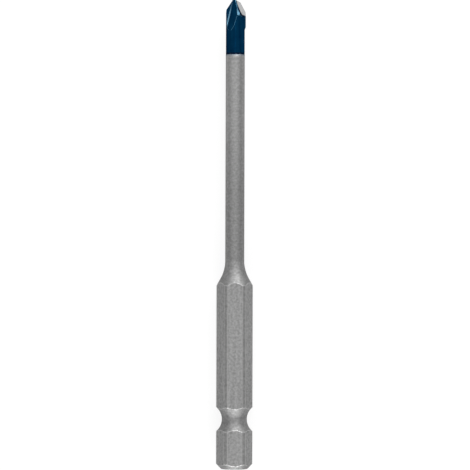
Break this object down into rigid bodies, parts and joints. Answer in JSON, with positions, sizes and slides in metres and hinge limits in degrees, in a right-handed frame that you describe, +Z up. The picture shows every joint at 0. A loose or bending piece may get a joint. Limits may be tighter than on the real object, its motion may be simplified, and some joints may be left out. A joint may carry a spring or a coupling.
{
  "type": "glass and tile drill bit",
  "caption": "Drill bit for glass and tile: hexagonal quick-change shank with a ball groove, slim round neck and a brazed, ground carbide head with a coated body and bare flanks.",
  "frame": {"origin": "on the surface that the bit lies on, under the middle of its length", "axes": "+Y along the bit from the shank to the point, +Z up from the flat that it lies on, +X across"},
  "size_m": [0.007, 0.09, 0.0063],
  "materials": {
    "blasted_steel": "bead-blasted, dull grey",
    "braze": "thin pale line of braze",
    "coated_carbide": "thin dark blue coating, with the flanks ground bare"
  },
  "bodies": {
    "root": {"shank": "blasted_steel", "braze_joint": "braze", "carbide_head": "coated_carbide"}
  },
  "joints": []
}
